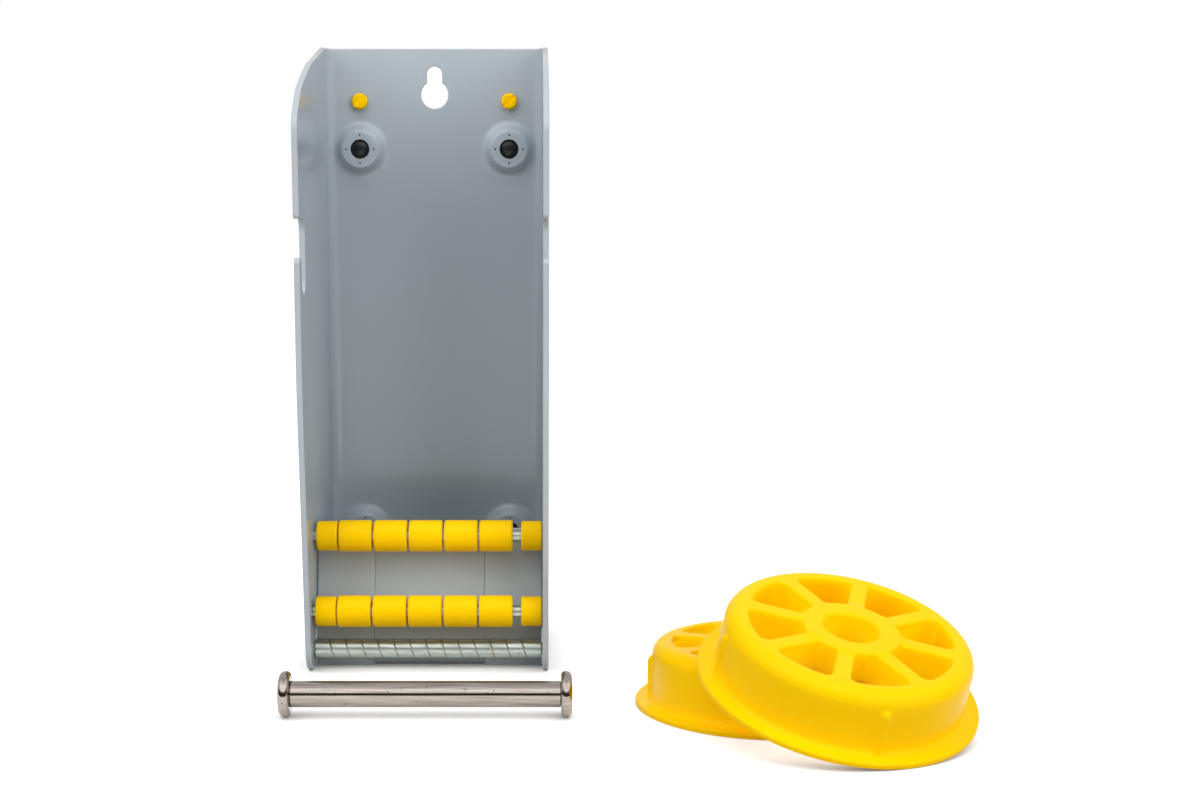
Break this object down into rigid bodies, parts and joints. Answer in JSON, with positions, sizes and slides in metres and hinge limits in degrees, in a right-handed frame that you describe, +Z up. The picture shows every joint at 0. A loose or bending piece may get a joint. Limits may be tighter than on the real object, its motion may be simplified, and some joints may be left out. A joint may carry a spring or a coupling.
{
  "type": "label dispenser",
  "caption": "Upright folded sheet label dispenser with roller rows, a grooved peel bar, a drop-in spindle and spoked hubs for the label roll's core.",
  "frame": {"origin": "middle of the back wall's bottom edge, on the surface the dispenser stands on", "axes": "+Z up along the back wall, -Y towards the open front, +X to the viewer's right from the front"},
  "size_m": [0.2108, 0.1911, 0.2147],
  "materials": {
    "grey_paint": "semi-gloss",
    "yellow_plastic": "satin moulded",
    "black_rubber": "matte",
    "bright_steel": "bright drawn",
    "zinc_plate": "zinc plated"
  },
  "bodies": {
    "frame": {"housing": "grey_paint", "ramp_plate": "grey_paint", "left_ramp_tab": "grey_paint", "right_ramp_tab": "grey_paint", "upper_left_foot": "black_rubber", "upper_right_foot": "black_rubber", "lower_left_foot": "black_rubber", "lower_right_foot": "black_rubber", "left_rivet": "yellow_plastic", "right_rivet": "yellow_plastic", "upper_rod": "bright_steel", "lower_rod": "bright_steel", "upper_left_bush": "yellow_plastic", "upper_right_bush": "yellow_plastic", "lower_left_bush": "yellow_plastic", "lower_right_bush": "yellow_plastic", "peel_bar": "zinc_plate"},
    "upper_roller_1": {"upper_roller_1": "yellow_plastic"},
    "upper_roller_2": {"upper_roller_2": "yellow_plastic"},
    "upper_roller_3": {"upper_roller_3": "yellow_plastic"},
    "upper_roller_4": {"upper_roller_4": "yellow_plastic"},
    "upper_roller_5": {"upper_roller_5": "yellow_plastic"},
    "lower_roller_1": {"lower_roller_1": "yellow_plastic"},
    "lower_roller_2": {"lower_roller_2": "yellow_plastic"},
    "lower_roller_3": {"lower_roller_3": "yellow_plastic"},
    "lower_roller_4": {"lower_roller_4": "yellow_plastic"},
    "lower_roller_5": {"lower_roller_5": "yellow_plastic"},
    "spindle": {"spindle_shaft": "bright_steel", "spindle_left_head": "bright_steel", "spindle_right_head": "bright_steel"},
    "rear_hub": {"rear_hub": "yellow_plastic"},
    "front_hub": {"front_hub": "yellow_plastic"}
  },
  "joints": [
    {"name": "upper_roller_1_spin", "type": "hinge", "parent": "frame", "child": "upper_roller_1", "pos_m": [0, -0.061, 0.0454], "axis": [1, 0, 0], "continuous": true},
    {"name": "upper_roller_2_spin", "type": "hinge", "parent": "frame", "child": "upper_roller_2", "pos_m": [0, -0.061, 0.0454], "axis": [1, 0, 0], "continuous": true},
    {"name": "upper_roller_3_spin", "type": "hinge", "parent": "frame", "child": "upper_roller_3", "pos_m": [0, -0.061, 0.0454], "axis": [1, 0, 0], "continuous": true},
    {"name": "upper_roller_4_spin", "type": "hinge", "parent": "frame", "child": "upper_roller_4", "pos_m": [0, -0.061, 0.0454], "axis": [1, 0, 0], "continuous": true},
    {"name": "upper_roller_5_spin", "type": "hinge", "parent": "frame", "child": "upper_roller_5", "pos_m": [0, -0.061, 0.0454], "axis": [1, 0, 0], "continuous": true},
    {"name": "lower_roller_1_spin", "type": "hinge", "parent": "frame", "child": "lower_roller_1", "pos_m": [0, -0.0682, 0.0205], "axis": [1, 0, 0], "continuous": true},
    {"name": "lower_roller_2_spin", "type": "hinge", "parent": "frame", "child": "lower_roller_2", "pos_m": [0, -0.0682, 0.0205], "axis": [1, 0, 0], "continuous": true},
    {"name": "lower_roller_3_spin", "type": "hinge", "parent": "frame", "child": "lower_roller_3", "pos_m": [0, -0.0682, 0.0205], "axis": [1, 0, 0], "continuous": true},
    {"name": "lower_roller_4_spin", "type": "hinge", "parent": "frame", "child": "lower_roller_4", "pos_m": [0, -0.0682, 0.0205], "axis": [1, 0, 0], "continuous": true},
    {"name": "lower_roller_5_spin", "type": "hinge", "parent": "frame", "child": "lower_roller_5", "pos_m": [0, -0.0682, 0.0205], "axis": [1, 0, 0], "continuous": true},
    {"name": "spindle_lift", "type": "slide", "parent": "frame", "child": "spindle", "axis": [0, 0.2596, 0.9657], "range_m": [0, 0.144]},
    {"name": "rear_hub_lift", "type": "slide", "parent": "frame", "child": "rear_hub", "axis": [0, 0, 1], "range_m": [0, 0.12]},
    {"name": "front_hub_lift", "type": "slide", "parent": "rear_hub", "child": "front_hub", "axis": [0, 0, 1], "range_m": [0, 0.08]}
  ]
}
